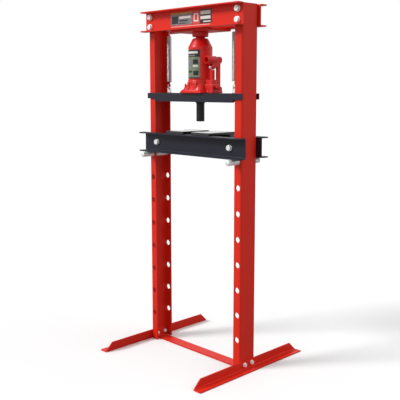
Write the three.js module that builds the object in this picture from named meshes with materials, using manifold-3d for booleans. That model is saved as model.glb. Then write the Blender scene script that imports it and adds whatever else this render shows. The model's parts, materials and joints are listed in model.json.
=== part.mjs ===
// A small hydraulic shop press with a bolted H frame.
// Millimetres, +Z up, +X to the right and -Y to the front.
// The origin is on the floor at the centre of the frame.
import * as THREE from 'three';
import { mergeVertices } from 'three/addons/utils/BufferGeometryUtils.js';
import Module from 'manifold-3d';

const wasm = await Module();
wasm.setup();

const X_AXIS = new THREE.Vector3(1, 0, 0);
const Y_AXIS = new THREE.Vector3(0, 1, 0);
const Z_AXIS = new THREE.Vector3(0, 0, 1);

// ---- driving dimensions -------------------------------------------------
const GAP = 0.3; // clearance between two pieces that touch

const HEIGHT = 1290; // floor to the top of the posts
const PLATE = 5; // wall of every rolled or bent section

const POST_OUTER = 241; // half the width over the two post webs
const POST_DEPTH = 79; // front to back
const POST_FLANGE = 33;
const POST_INNER = POST_OUTER - POST_FLANGE; // lips of the posts

const HOLE_X = 224; // height-setting holes in the post flanges
const HOLE_RADIUS = 10.6;
const HOLE_FIRST = 112;
const HOLE_PITCH = 91.7;
const HOLE_COUNT = 8;

const TOP_BEAM_HALF = 250;
const TOP_BEAM_HEIGHT = 75;
const TOP_BEAM_FLANGE = 34;
const TOP_BEAM_BOTTOM = HEIGHT - TOP_BEAM_HEIGHT;

const BED_HALF = 261;
const BED_HEIGHT = 74;
const BED_FLANGE = 37;
const BED_TIE_X = 191;
const BED_SPACER_RADIUS = 11;

const PIN = { radius: 10, front: -94, back: 69 };

const FOOT_HALF = 271;
const FOOT_LEG = 34;
const FOOT_PLATE = 4;
const FOOT_END_CUT = 31;

const BASE_BAR_HALF_WIDTH = 22;
const BASE_BAR_TAB_TOP = 42;

const HEAD_PLATE_HALF = { x: 98, y: 57 };
const HEAD_PLATE_THICK = 8;
const HEAD_PLATE_TOP = TOP_BEAM_BOTTOM - GAP;
const HEAD_PLATE_BOTTOM = HEAD_PLATE_TOP - HEAD_PLATE_THICK;

const CROSSBEAM = { top: 988, bottom: 956.5, half: 204, tabHalf: 246, tabBottom: 967 };
const CROSSBEAM_REACH = { inner: 40, outer: 45 }; // guide strips run outside the post flanges
const RAM_PAD_HALF = 60; // plate under the crossbeam that carries the press ram

const PRESS_RAM = { radius: 15, collar: 19, bottom: 885, collarBottom: 950 };

const ARBOR = { width: 92, front: -60, back: 78, thick: 10, notchDepth: 16, notchHalf: 26 };
const ARBOR_LEFT_X = -124; // left edge of each arbor plate
const ARBOR_RIGHT_X = 10;

const SPRING_X = 170;
const SPRING = { outer: 10, inner: 7, wire: 1.5, bottom: 1030, top: 1199 };
const HANGER = { radius: 4, z: 1225 };
const LUG = { z: 1003, holeRadius: 5, radius: 9, halfThick: 2 };
const HOOK_RADIUS = 7;

const JACK_FLOOR = CROSSBEAM.top + GAP;
const JACK_BASE = { half: 55, flange: 5, slopeHalf: 53, shoulder: 1012, shoulderHalf: 41 };
const JACK_COLLAR = { radius: 46, top: 1036 };
const TANK = { radius: 44, wall: 3.5, shoulder: 1156, neckRadius: 28, top: 1184, neckHole: 18.3 };
const CYLINDER = { outer: 20, inner: 14.9, bottom: 1000, top: 1176 };
const RAM = { radius: 14.5, bottom: 1004, top: 1188.3, bore: 8.3, boreBottom: 1124 };
const SADDLE = { radius: 29.5, neck: 17, rim: 1190, stem: 8, stemBottom: 1130 };

const PUMP_X = 61; // axis of the pump, beside the tank
const PUMP = { radius: 9, bore: 5, top: 1071, boreBottom: 1024 };
const PUMP_BOSS = { from: 30, to: 80, half: 18 }; // the block beside the collar that holds the pump
const PLUNGER = { radius: 4.6, bottom: 1036, top: 1073 };
const PLUNGER_EYE = { halfX: 4.6, front: -12.2, back: 5.2, top: 1085.4 };
const PLUNGER_PIN = { z: 1080, radius: 3, clearance: 0.6, swing: 6.8 };
const LINK = { y: 30, lowerZ: 1003.5, upperZ: 1102, halfX: 4, radius: 9, pin: 3 };
const LINK_CHEEK = { inner: 4.5, outer: 9, half: 12.5, top: 1012 };
const LINK_FOOT = { from: 44, to: 72, front: 10 }; // part of the sole under the link
const SOCKET = { z: 1106, outer: 14, inner: 10.5, front: -32, back: 16, floor: 8 };
const SOCKET_CHEEK = { inner: 5, outer: 9, bottom: 1073, front: -9, back: 42, top: 1118 };
const VALVE = { z: 1008, radius: 5, knob: 6.5, inside: 70, knobStart: 82, end: 90 };

// Bolts are given by radii and heights; spare is the thread left past the nut.
const BOLT = {
  radius: 6, head: 10.5, headHeight: 7.5, washer: 11.5, washerThick: 2, nut: 10, nutHeight: 9, spare: 3,
};
const FOOT_BOLT = {
  radius: 4, head: 7.5, headHeight: 5.3, washer: 8.5, washerThick: 1.6, nut: 7.5, nutHeight: 6.5, spare: 2,
};
const TOP_BOLT_X = 224;
const TOP_BOLT_Z = [1234, 1271];
const FOOT_BOLT_Y = 19;
const FOOT_BOLT_Z = 20;

// ---- materials ----------------------------------------------------------
const paint = (color, roughness) => new THREE.MeshStandardMaterial({ color, roughness, metalness: 0.0 });
const metal = (color, roughness) => new THREE.MeshStandardMaterial({ color, roughness, metalness: 1.0 });
const redPaint = () => paint(0xd2231a, 0.35);
const blackPaint = () => paint(0x2b2b33, 0.35);
const jackPaint = () => paint(0xd81a12, 0.3);
const zinc = () => metal(0xd9dbe0, 0.3);
const darkSteel = () => metal(0x6d7076, 0.35);

// ---- solids -------------------------------------------------------------
// Turns a closed three.js geometry into a solid that can be joined and cut.
function toSolid(geometry) {
  const plain = geometry.clone();
  plain.deleteAttribute('normal');
  plain.deleteAttribute('uv');
  const merged = mergeVertices(plain, 1e-4);
  const corners = merged.index.array;
  const triVerts = [];
  for (let i = 0; i < corners.length; i += 3) {
    const [a, b, c] = corners.slice(i, i + 3);
    if (a !== b && b !== c && c !== a) triVerts.push(a, b, c);
  }
  return new wasm.Manifold(new wasm.Mesh({
    numProp: 3,
    vertProperties: new Float32Array(merged.attributes.position.array),
    triVerts: new Uint32Array(triVerts),
  }));
}

function toGeometry(solid) {
  const mesh = solid.getMesh();
  const geometry = new THREE.BufferGeometry();
  geometry.setAttribute('position', new THREE.BufferAttribute(mesh.vertProperties, 3));
  geometry.setIndex(new THREE.BufferAttribute(mesh.triVerts, 1));
  geometry.computeVertexNormals();
  return geometry;
}

const join = (first, ...others) => others.reduce((whole, piece) => whole.add(piece), first);
const cut = (whole, ...tools) => tools.reduce((left, tool) => left.subtract(tool), whole);

// A block between two opposite corners.
function block(x, y, z) {
  const geometry = new THREE.BoxGeometry(x[1] - x[0], y[1] - y[0], z[1] - z[0]);
  geometry.translate((x[0] + x[1]) / 2, (y[0] + y[1]) / 2, (z[0] + z[1]) / 2);
  return toSolid(geometry);
}

// A round or many-sided bar along one axis, from one end to the other.
function bar(axis, radius, from, to, centre, sides = 16) {
  const geometry = new THREE.CylinderGeometry(radius, radius, to - from, sides);
  if (axis === 'z') geometry.rotateX(Math.PI / 2);
  if (axis === 'x') geometry.rotateZ(-Math.PI / 2);
  const middle = (from + to) / 2;
  if (axis === 'x') geometry.translate(middle, centre[0], centre[1]);
  if (axis === 'y') geometry.translate(centre[0], middle, centre[1]);
  if (axis === 'z') geometry.translate(centre[0], centre[1], middle);
  return toSolid(geometry);
}

// A turned piece about a vertical axis. The outline is a list of [radius, z], from bottom to top
// along the outside; it ends on the axis or closes on itself.
function turned(outline, centre = [0, 0], sides = 24) {
  const geometry = new THREE.LatheGeometry(outline.map(([r, z]) => new THREE.Vector2(r, z)), sides);
  geometry.rotateX(Math.PI / 2);
  geometry.translate(centre[0], centre[1], 0);
  return toSolid(geometry);
}

// An upright tube.
function tube(outer, inner, bottom, top, centre, sides) {
  const wall = [[outer, bottom], [outer, top], [inner, top], [inner, bottom], [outer, bottom]];
  return turned(wall, centre, sides);
}

// A closed outline pushed upwards, or along +X with the outline's own axes laid on Y and Z.
function pushed(axis, shape, from, to, curveSegments = 4) {
  const geometry = new THREE.ExtrudeGeometry(shape, { depth: to - from, bevelEnabled: false, curveSegments });
  geometry.translate(0, 0, from);
  if (axis === 'x') geometry.applyMatrix4(new THREE.Matrix4().makeBasis(Y_AXIS, Z_AXIS, X_AXIS));
  return toSolid(geometry);
}

// A C section with its web at u = 0 and its flanges reaching to +u, v being the height.
// The bends of the sheet are round outside and inside.
function channelOutline(flange, low, high, wall = PLATE) {
  const outer = wall + 2;
  const inner = 2;
  const shape = new THREE.Shape();
  shape.moveTo(flange, low);
  shape.lineTo(flange, low + wall);
  shape.lineTo(wall + inner, low + wall);
  shape.absarc(wall + inner, low + wall + inner, inner, -Math.PI / 2, Math.PI, true);
  shape.lineTo(wall, high - wall - inner);
  shape.absarc(wall + inner, high - wall - inner, inner, Math.PI, Math.PI / 2, true);
  shape.lineTo(flange, high - wall);
  shape.lineTo(flange, high);
  shape.lineTo(outer, high);
  shape.absarc(outer, high - outer, outer, Math.PI / 2, Math.PI, false);
  shape.lineTo(0, low + outer);
  shape.absarc(outer, low + outer, outer, Math.PI, 1.5 * Math.PI, false);
  shape.closePath();
  return shape;
}

const mirrorX = (solid) => solid.mirror([1, 0, 0]);
const mirrorY = (solid) => solid.mirror([0, 1, 0]);

const press = new THREE.Group();
function add(name, solid, material) {
  const mesh = new THREE.Mesh(toGeometry(solid), material);
  mesh.name = name;
  press.add(mesh);
}

// ---- posts and top beams ------------------------------------------------
const holeHeights = Array.from({ length: HOLE_COUNT }, (_, k) => HOLE_FIRST + k * HOLE_PITCH);

function rightPost() {
  const half = POST_DEPTH / 2;
  let post = pushed('z', channelOutline(POST_FLANGE, -half, half), 0, HEIGHT, 3);
  post = mirrorX(post).translate([POST_OUTER, 0, 0]);
  const pinHoles = holeHeights.map((z) => bar('y', HOLE_RADIUS, -half - 1, half + 1, [HOLE_X, z], 12));
  const boltHoles = TOP_BOLT_Z.map((z) =>
    bar('y', BOLT.radius + GAP, -half - 1, half + 1, [TOP_BOLT_X, z], 8));
  const footHoles = [-FOOT_BOLT_Y, FOOT_BOLT_Y].map((y) => bar('x', FOOT_BOLT.radius + GAP,
    POST_OUTER - PLATE - 1, POST_OUTER + 1, [y, FOOT_BOLT_Z], 8));
  return cut(post, ...pinHoles, ...boltHoles, ...footHoles);
}

// The web of the rear beam lies against the rear flanges of the posts.
function rearTopBeam() {
  const outline = channelOutline(TOP_BEAM_FLANGE, TOP_BEAM_BOTTOM, HEIGHT);
  const beam = pushed('x', outline, -TOP_BEAM_HALF, TOP_BEAM_HALF, 3).translate([0, POST_DEPTH / 2 + GAP, 0]);
  const holes = [];
  for (const side of [-1, 1]) {
    for (const z of TOP_BOLT_Z) {
      holes.push(bar('y', BOLT.radius + GAP, POST_DEPTH / 2, POST_DEPTH / 2 + PLATE + 1,
        [side * TOP_BOLT_X, z], 8));
    }
  }
  return cut(beam, ...holes);
}

function headPlate() {
  const { x, y } = HEAD_PLATE_HALF;
  return block([-x, x], [-y, y], [HEAD_PLATE_BOTTOM, HEAD_PLATE_TOP]);
}

// ---- fasteners ----------------------------------------------------------
// A hexagon bolt with its washer, head up at z = 0 and shank down to -length.
function hexBolt(size, length) {
  const washer = bar('z', size.washer, 0, size.washerThick, [0, 0], 12);
  const head = bar('z', size.head, size.washerThick, size.washerThick + size.headHeight, [0, 0], 6);
  const shank = bar('z', size.radius, -length, 1, [0, 0], 8);
  return join(shank, washer, head);
}

// A hexagon nut from z = 0 downwards.
function hexNut(size) {
  const body = bar('z', size.nut, -size.nutHeight, 0, [0, 0], 6);
  return cut(body, bar('z', size.radius + GAP, -size.nutHeight - 1, 1, [0, 0], 8));
}

// Turns a fastener that points up so that its head faces along a horizontal direction.
const faceFront = (solid) => solid.rotate([90, 0, 0]);
const faceBack = (solid) => solid.rotate([-90, 0, 0]);
const faceRight = (solid) => solid.rotate([0, 90, 0]);
const faceLeft = (solid) => solid.rotate([0, -90, 0]);

function addTopBolts() {
  const headY = POST_DEPTH / 2 + GAP + PLATE + GAP;
  const nutY = POST_DEPTH / 2 - PLATE - GAP;
  const length = headY - nutY + BOLT.nutHeight + BOLT.spare;
  for (const [side, sideName] of [[-1, 'left'], [1, 'right']]) {
    TOP_BOLT_Z.forEach((z, row) => {
      const rowName = row === 0 ? 'lower' : 'upper';
      const x = side * TOP_BOLT_X;
      for (const [end, endName, face] of [[-1, 'front', faceFront], [1, 'rear', faceBack]]) {
        const name = `${sideName}_${endName}_${rowName}`;
        add(`${name}_bolt`, face(hexBolt(BOLT, length)).translate([x, end * headY, z]), zinc());
        add(`${name}_nut`, face(hexNut(BOLT)).translate([x, end * nutY, z]), zinc());
      }
    });
  }
}

function addFootBolts() {
  const headX = POST_OUTER + GAP + FOOT_PLATE + GAP;
  const nutX = POST_OUTER - PLATE - GAP - PLATE - GAP;
  const length = headX - nutX + FOOT_BOLT.nutHeight + FOOT_BOLT.spare;
  for (const [side, sideName, face] of [[-1, 'left', faceLeft], [1, 'right', faceRight]]) {
    for (const [end, endName] of [[-1, 'front'], [1, 'rear']]) {
      const y = end * FOOT_BOLT_Y;
      add(`${sideName}_foot_${endName}_bolt`, face(hexBolt(FOOT_BOLT, length))
        .translate([side * headX, y, FOOT_BOLT_Z]), zinc());
      add(`${sideName}_foot_${endName}_nut`, face(hexNut(FOOT_BOLT))
        .translate([side * nutX, y, FOOT_BOLT_Z]), zinc());
    }
  }
}

// ---- feet and base bar --------------------------------------------------
// An angle: one leg on the floor, the other upright against the post with its ends cut on the slant.
function rightFoot() {
  const inside = POST_OUTER + GAP;
  const upright = new THREE.Shape();
  upright.moveTo(-FOOT_HALF, 0);
  upright.lineTo(FOOT_HALF, 0);
  upright.lineTo(FOOT_HALF, FOOT_PLATE);
  upright.lineTo(FOOT_HALF - FOOT_END_CUT, FOOT_LEG);
  upright.lineTo(-FOOT_HALF + FOOT_END_CUT, FOOT_LEG);
  upright.lineTo(-FOOT_HALF, FOOT_PLATE);
  upright.closePath();
  const leg = pushed('x', upright, inside, inside + FOOT_PLATE);
  const sole = block([inside, inside + FOOT_LEG], [-FOOT_HALF, FOOT_HALF], [0, FOOT_PLATE]);
  const holes = [-FOOT_BOLT_Y, FOOT_BOLT_Y].map((y) => bar('x', FOOT_BOLT.radius + GAP,
    inside - 1, inside + FOOT_PLATE + 1, [y, FOOT_BOLT_Z], 8));
  return cut(join(leg, sole), ...holes);
}

// A flat bar on the floor between the posts, its ends bent up and held by the foot bolts.
function baseBar() {
  const end = POST_OUTER - PLATE - GAP;
  const width = [-BASE_BAR_HALF_WIDTH, BASE_BAR_HALF_WIDTH];
  const flat = block([-end, end], width, [0, PLATE]);
  const tabs = [-1, 1].map((side) => {
    const x = [side * end, side * (end - PLATE)].sort((a, b) => a - b);
    return block(x, width, [0, BASE_BAR_TAB_TOP]);
  });
  const holes = [-FOOT_BOLT_Y, FOOT_BOLT_Y].map((y) => bar('x', FOOT_BOLT.radius + GAP,
    -POST_OUTER, POST_OUTER, [y, FOOT_BOLT_Z], 8));
  return cut(join(flat, ...tabs), ...holes);
}

// ---- bed ----------------------------------------------------------------
const pinZ = holeHeights[HOLE_COUNT - 1] - HOLE_RADIUS + PIN.radius + GAP;
const bedBottom = pinZ + PIN.radius + GAP;
const bedTop = bedBottom + BED_HEIGHT;
const bedTieZ = (bedBottom + bedTop) / 2;
const bedFace = POST_DEPTH / 2 + GAP; // inner face of each bed web

function rearBedChannel() {
  const outline = channelOutline(BED_FLANGE, bedBottom, bedTop);
  const beam = pushed('x', outline, -BED_HALF, BED_HALF, 3).translate([0, bedFace, 0]);
  const holes = [-1, 1].map((side) => bar('y', BOLT.radius + GAP, bedFace - 1, bedFace + PLATE + 1,
    [side * BED_TIE_X, bedTieZ], 8));
  return cut(beam, ...holes);
}

function addBedTies() {
  const headY = bedFace + PLATE + GAP;
  for (const [side, sideName] of [[-1, 'left'], [1, 'right']]) {
    const x = side * BED_TIE_X;
    const length = 2 * headY + BOLT.nutHeight + BOLT.spare;
    add(`${sideName}_bed_tie_bolt`,
      faceFront(hexBolt(BOLT, length)).translate([x, -headY, bedTieZ]), zinc());
    add(`${sideName}_bed_tie_nut`, faceFront(hexNut(BOLT)).translate([x, headY, bedTieZ]), zinc());
    const sleeve = bar('y', BED_SPACER_RADIUS, -bedFace + GAP, bedFace - GAP, [x, bedTieZ], 12);
    const bore = bar('y', BOLT.radius + GAP, -bedFace, bedFace, [x, bedTieZ], 8);
    add(`${sideName}_bed_spacer`, cut(sleeve, bore), blackPaint());
  }
}

function bedPin(side) {
  return bar('y', PIN.radius, PIN.front, PIN.back, [side * HOLE_X, pinZ], 12);
}

// A thick plate across the two bed channels, with a notch in its left edge.
function arborPlate(left) {
  const z = [bedTop + GAP, bedTop + GAP + ARBOR.thick];
  const middle = (ARBOR.front + ARBOR.back) / 2;
  const plate = block([left, left + ARBOR.width], [ARBOR.front, ARBOR.back], z);
  const notch = block([left - 1, left + ARBOR.notchDepth],
    [middle - ARBOR.notchHalf, middle + ARBOR.notchHalf], [z[0] - 1, z[1] + 1]);
  return cut(plate, notch);
}

// ---- crossbeam, press ram and springs ------------------------------------
// Two side plates with guide strips past the posts, a top plate between them, a pad for the ram
// underneath and a lug for each return spring.
function crossbeam() {
  const { top, bottom, half, tabHalf, tabBottom } = CROSSBEAM;
  const { inner, outer } = CROSSBEAM_REACH;
  const sides = [-1, 1].flatMap((end) => {
    const y = [end * inner, end * outer].sort((a, b) => a - b);
    return [block([-half, half], y, [bottom, top]), block([-tabHalf, tabHalf], y, [tabBottom, top])];
  });
  const topPlate = block([-half, half], [-outer, outer], [top - PLATE, top]);
  const ramPad = block([-RAM_PAD_HALF, RAM_PAD_HALF], [-outer, outer], [bottom, bottom + PLATE]);
  const lugs = [-1, 1].map((side) => springLug(side * SPRING_X));
  return join(topPlate, ramPad, ...sides, ...lugs);
}

// A flat lug with a round head and a hole across it, along Y.
function springLug(x) {
  const { z, radius, holeRadius, halfThick } = LUG;
  const stem = block([x - radius, x + radius], [-halfThick, halfThick], [CROSSBEAM.top - 1, z]);
  const head = bar('y', radius, -halfThick, halfThick, [x, z], 16);
  return cut(join(stem, head), bar('y', holeRadius, -halfThick - 1, halfThick + 1, [x, z], 12));
}

function pressRam() {
  const { radius, collar, bottom, collarBottom } = PRESS_RAM;
  const top = CROSSBEAM.bottom - GAP;
  return turned([[0, bottom], [radius - 1, bottom], [radius, bottom + 1], [radius, collarBottom],
    [collar, top], [0, top]]);
}

// An extension spring as the tube that its coils fill, with a cross wire and an eye at each end.
// The upper eye rings the hanger, and the lower one passes through the lug's hole.
function returnSpring(side) {
  const { outer, inner, wire, bottom, top } = SPRING;
  const x = side * SPRING_X;
  const coils = tube(outer, inner, bottom, top, [x, 0], 12);
  const crossWires = [bottom + wire, top - wire].map((z) =>
    bar('x', wire, x - inner - 1, x + inner + 1, [0, z], 6));
  const upperEye = HANGER.z;
  const lowerEye = LUG.z + HOOK_RADIUS;
  const upperStem = bar('z', wire, top - wire, upperEye - HOOK_RADIUS, [x, 0], 6);
  const lowerStem = bar('z', wire, lowerEye + HOOK_RADIUS, bottom + wire, [x, 0], 6);
  return join(coils, ...crossWires, upperStem, lowerStem, ring('y', x, upperEye), ring('x', x, lowerEye));
}

// A wire ring about a horizontal axis.
function ring(axis, x, z) {
  const geometry = new THREE.TorusGeometry(HOOK_RADIUS, SPRING.wire, 6, 12);
  if (axis === 'y') geometry.rotateX(Math.PI / 2);
  if (axis === 'x') geometry.rotateY(Math.PI / 2);
  geometry.translate(x, 0, z);
  return toSolid(geometry);
}

function springHanger(side) {
  const half = POST_DEPTH / 2;
  return bar('y', HANGER.radius, -half, half, [side * SPRING_X, HANGER.z], 12);
}

// ---- bottle jack ---------------------------------------------------------
function jackBase() {
  const { half, flange, slopeHalf, shoulder, shoulderHalf } = JACK_BASE;
  const soleTop = JACK_FLOOR + flange;
  const sole = block([-half, half], [-half, half], [JACK_FLOOR, soleTop]);
  const slope = new THREE.CylinderGeometry(shoulderHalf * Math.SQRT2, slopeHalf * Math.SQRT2,
    shoulder - soleTop + 1, 4);
  slope.rotateY(Math.PI / 4);
  slope.rotateX(Math.PI / 2);
  slope.translate(0, 0, (shoulder + soleTop - 1) / 2);
  const round = bar('z', JACK_COLLAR.radius, JACK_FLOOR + 1, JACK_COLLAR.top, [0, 0], 24);
  const boss = block([PUMP_BOSS.from, PUMP_BOSS.to], [-PUMP_BOSS.half, PUMP_BOSS.half],
    [JACK_FLOOR, JACK_COLLAR.top]);
  const pump = bar('z', PUMP.radius, JACK_COLLAR.top - 6, PUMP.top, [PUMP_X, 0], 16);
  const linkFoot = block([LINK_FOOT.from, LINK_FOOT.to], [LINK_FOOT.front, LINK.y + LINK_CHEEK.half],
    [JACK_FLOOR, soleTop]);
  const cheeks = [-1, 1].map((side) => {
    const x = [PUMP_X + side * LINK_CHEEK.inner, PUMP_X + side * LINK_CHEEK.outer].sort((a, b) => a - b);
    return block(x, [LINK.y - LINK_CHEEK.half, LINK.y + LINK_CHEEK.half], [JACK_FLOOR + 1, LINK_CHEEK.top]);
  });
  return cut(join(sole, toSolid(slope), round, boss, pump, linkFoot, ...cheeks),
    bar('z', CYLINDER.outer + GAP, CYLINDER.bottom, JACK_COLLAR.top + 1, [0, 0], 24),
    bar('z', PUMP.bore, PUMP.boreBottom, PUMP.top + 1, [PUMP_X, 0], 12),
    bar('x', LINK.pin + GAP, PUMP_X - 15, PUMP_X + 15, [LINK.y, LINK.lowerZ], 12),
    bar('x', VALVE.radius + GAP, VALVE.inside, PUMP_BOSS.to + 1, [0, VALVE.z], 12));
}

function jackTank() {
  const { radius, wall, shoulder, neckRadius, top, neckHole } = TANK;
  const bottom = JACK_COLLAR.top + GAP;
  return turned([[radius, bottom], [radius, shoulder - 6], [radius - 1.5, shoulder + 3],
    [radius - 6, shoulder + 15], [neckRadius + 4.5, shoulder + 22], [neckRadius, top],
    [neckHole, top], [neckHole, top - wall], [neckRadius - 1, top - wall], [radius - 10, shoulder + 13],
    [radius - wall - 1, shoulder], [radius - wall, shoulder - 8], [radius - wall, bottom], [radius, bottom]]);
}

const jackCylinder = () => tube(CYLINDER.outer, CYLINDER.inner, CYLINDER.bottom + GAP, CYLINDER.top);
const tankNut = () => tube(TANK.neckHole - GAP, CYLINDER.inner, CYLINDER.top + GAP, RAM.top - GAP);

function jackRam() {
  const { radius, bottom, top, bore, boreBottom } = RAM;
  return turned([[0, bottom], [radius, bottom], [radius, top], [bore, top],
    [bore, boreBottom], [0, boreBottom]]);
}

// The wide head of the extension screw, which bears on the head plate, with its screw below.
function ramSaddle() {
  const { radius, neck, rim, stem, stemBottom } = SADDLE;
  const under = RAM.top + GAP;
  const top = HEAD_PLATE_BOTTOM - GAP;
  return turned([[0, stemBottom], [stem, stemBottom], [stem, under], [neck, under], [radius, rim],
    [radius, top - 1.5], [radius - 1.5, top], [0, top]]);
}

function pumpPlunger() {
  const { radius, bottom, top } = PLUNGER;
  const { z, radius: pin, clearance, swing } = PLUNGER_PIN;
  const rod = bar('z', radius, bottom, top + 1, [PUMP_X, 0], 12);
  const eye = block([PUMP_X - PLUNGER_EYE.halfX, PUMP_X + PLUNGER_EYE.halfX],
    [PLUNGER_EYE.front, PLUNGER_EYE.back], [top, PLUNGER_EYE.top]);
  const slot = block([PUMP_X - 20, PUMP_X + 20], [-swing - pin - clearance, pin + clearance],
    [z - pin - clearance, z + pin + clearance]);
  return cut(join(rod, eye), slot);
}

// The flat link that holds the back of the handle socket down to the base, with its two pins.
function pumpLink() {
  const { y, lowerZ, upperZ, halfX, radius, pin } = LINK;
  const strap = block([PUMP_X - halfX, PUMP_X + halfX], [y - radius, y + radius], [lowerZ, upperZ]);
  const ends = [lowerZ, upperZ].map((z) => bar('x', radius, PUMP_X - halfX, PUMP_X + halfX, [y, z], 12));
  const pins = [lowerZ, upperZ].map((z) => bar('x', pin, PUMP_X - LINK_CHEEK.outer - 1.5,
    PUMP_X + LINK_CHEEK.outer + 1.5, [y, z], 12));
  return join(strap, ...ends, ...pins);
}

// A tube for the pump handle, open to the front, on two cheeks that reach back to the link.
function handleSocket() {
  const { z, outer, inner, front, back, floor } = SOCKET;
  const sleeve = bar('y', outer, front, back, [PUMP_X, z], 20);
  const cheeks = [-1, 1].map((side) => {
    const x = [PUMP_X + side * SOCKET_CHEEK.inner, PUMP_X + side * SOCKET_CHEEK.outer].sort((a, b) => a - b);
    return block(x, [SOCKET_CHEEK.front, SOCKET_CHEEK.back], [SOCKET_CHEEK.bottom, SOCKET_CHEEK.top]);
  });
  const pin = bar('x', PLUNGER_PIN.radius, PUMP_X - SOCKET_CHEEK.outer, PUMP_X + SOCKET_CHEEK.outer,
    [0, PLUNGER_PIN.z], 12);
  return cut(join(sleeve, ...cheeks, pin),
    bar('y', inner, front - 1, back - floor, [PUMP_X, z], 20),
    bar('x', LINK.pin + GAP, PUMP_X - 15, PUMP_X + 15, [LINK.y, LINK.upperZ], 12));
}

function releaseValve() {
  const { z, radius, knob, inside, knobStart, end } = VALVE;
  const stem = bar('x', radius, inside + GAP, knobStart + 1, [0, z], 12);
  const head = bar('x', knob, knobStart, end, [0, z], 16);
  const slot = block([end - 5, end + 1], [-2, 2], [z - 10, z + 10]);
  return cut(join(stem, head), slot);
}

// ---- assembly ------------------------------------------------------------
add('left_post', mirrorX(rightPost()), redPaint());
add('right_post', rightPost(), redPaint());
add('front_top_beam', mirrorY(rearTopBeam()), redPaint());
add('rear_top_beam', rearTopBeam(), redPaint());
add('head_plate', headPlate(), redPaint());
add('left_foot', mirrorX(rightFoot()), redPaint());
add('right_foot', rightFoot(), redPaint());
add('base_bar', baseBar(), redPaint());
addTopBolts();
addFootBolts();

add('front_bed_channel', mirrorY(rearBedChannel()), blackPaint());
add('rear_bed_channel', rearBedChannel(), blackPaint());
addBedTies();
add('left_bed_pin', bedPin(-1), zinc());
add('right_bed_pin', bedPin(1), zinc());
add('left_arbor_plate', arborPlate(ARBOR_LEFT_X), blackPaint());
add('right_arbor_plate', arborPlate(ARBOR_RIGHT_X), blackPaint());

add('crossbeam', crossbeam(), blackPaint());
add('press_ram', pressRam(), blackPaint());
for (const [side, sideName] of [[-1, 'left'], [1, 'right']]) {
  add(`${sideName}_spring_hanger`, springHanger(side), darkSteel());
  add(`${sideName}_return_spring`, returnSpring(side), zinc());
}

add('jack_base', jackBase(), jackPaint());
add('jack_tank', jackTank(), jackPaint());
add('jack_cylinder', jackCylinder(), darkSteel());
add('tank_nut', tankNut(), jackPaint());
add('jack_ram', jackRam(), darkSteel());
add('ram_saddle', ramSaddle(), jackPaint());
add('pump_plunger', pumpPlunger(), darkSteel());
add('pump_link', pumpLink(), jackPaint());
add('handle_socket', handleSocket(), jackPaint());
add('release_valve', releaseValve(), jackPaint());

export default press;
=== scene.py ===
import json
import math
import random

import bmesh
import bpy
from mathutils import Matrix, Vector


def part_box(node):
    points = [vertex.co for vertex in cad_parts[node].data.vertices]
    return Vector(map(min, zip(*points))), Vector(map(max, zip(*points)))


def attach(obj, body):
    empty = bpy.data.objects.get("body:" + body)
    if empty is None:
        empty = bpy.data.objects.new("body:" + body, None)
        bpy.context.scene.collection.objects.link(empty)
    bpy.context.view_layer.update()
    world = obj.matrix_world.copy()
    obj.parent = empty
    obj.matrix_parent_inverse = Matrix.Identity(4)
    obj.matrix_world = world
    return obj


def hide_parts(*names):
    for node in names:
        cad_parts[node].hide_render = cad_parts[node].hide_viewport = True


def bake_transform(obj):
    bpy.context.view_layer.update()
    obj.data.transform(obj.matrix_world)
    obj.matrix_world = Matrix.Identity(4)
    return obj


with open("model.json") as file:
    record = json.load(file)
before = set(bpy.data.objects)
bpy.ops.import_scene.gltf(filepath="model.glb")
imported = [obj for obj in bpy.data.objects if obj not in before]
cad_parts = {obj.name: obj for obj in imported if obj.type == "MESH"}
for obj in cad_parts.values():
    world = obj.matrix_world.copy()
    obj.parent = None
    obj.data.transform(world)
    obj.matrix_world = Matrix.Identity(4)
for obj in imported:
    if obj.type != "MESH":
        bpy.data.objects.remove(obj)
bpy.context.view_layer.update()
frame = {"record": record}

# A hydraulic shop press. All sizes and places below are in millimetres, in the CAD frame,
# and MM turns them into metres.
MM = 0.001
record = frame["record"]
BODY_OF = {node: body for body, nodes in record["behaviour"]["bodies"].items() for node in nodes}
SIDES = (("left", -1), ("right", 1))
ENDS = (("front", -1), ("rear", 1))

WALL = 5              # wall of the rolled sections
BEND = 2              # inside radius of their bends
EDGE = 0.5            # broken edge of cut steel
ROUND = 64            # sides of a turned piece
HOLE_SIDES = 40

HOLE_RADIUS = 10.6    # height-setting holes in the posts
HOLE_FIRST = 112
HOLE_PITCH = 91.7
HOLE_COUNT = 8
FOOT_PLATE = 4
FOOT_END_CUT = 31
COS30 = math.cos(math.pi / 6)
GAP = 0.3             # clearance left between neighbouring pieces

BOLT = {"radius": 6, "head": 10.5, "head_height": 7.5, "washer": 11.5, "washer_thick": 2,
        "nut": 10, "pitch": 1.75, "thread": 20, "hole": 6.3}
FOOT_BOLT = {"radius": 4, "head": 7.5, "head_height": 5.3, "washer": 8.5, "washer_thick": 1.6,
             "nut": 7.5, "pitch": 1.25, "thread": 12, "hole": 4.3}


def box(node):
    low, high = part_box(node)
    return low / MM, high / MM


def centre(node):
    low, high = box(node)
    return (low + high) / 2


# ---- mesh helpers, in millimetres -----------------------------------------
def at(axis, u, v, w):
    """The point w along the axis with (u, v) on the other two, taken in X, Y, Z order."""
    return {"x": (w, u, v), "y": (u, w, v), "z": (u, v, w)}[axis]


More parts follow.
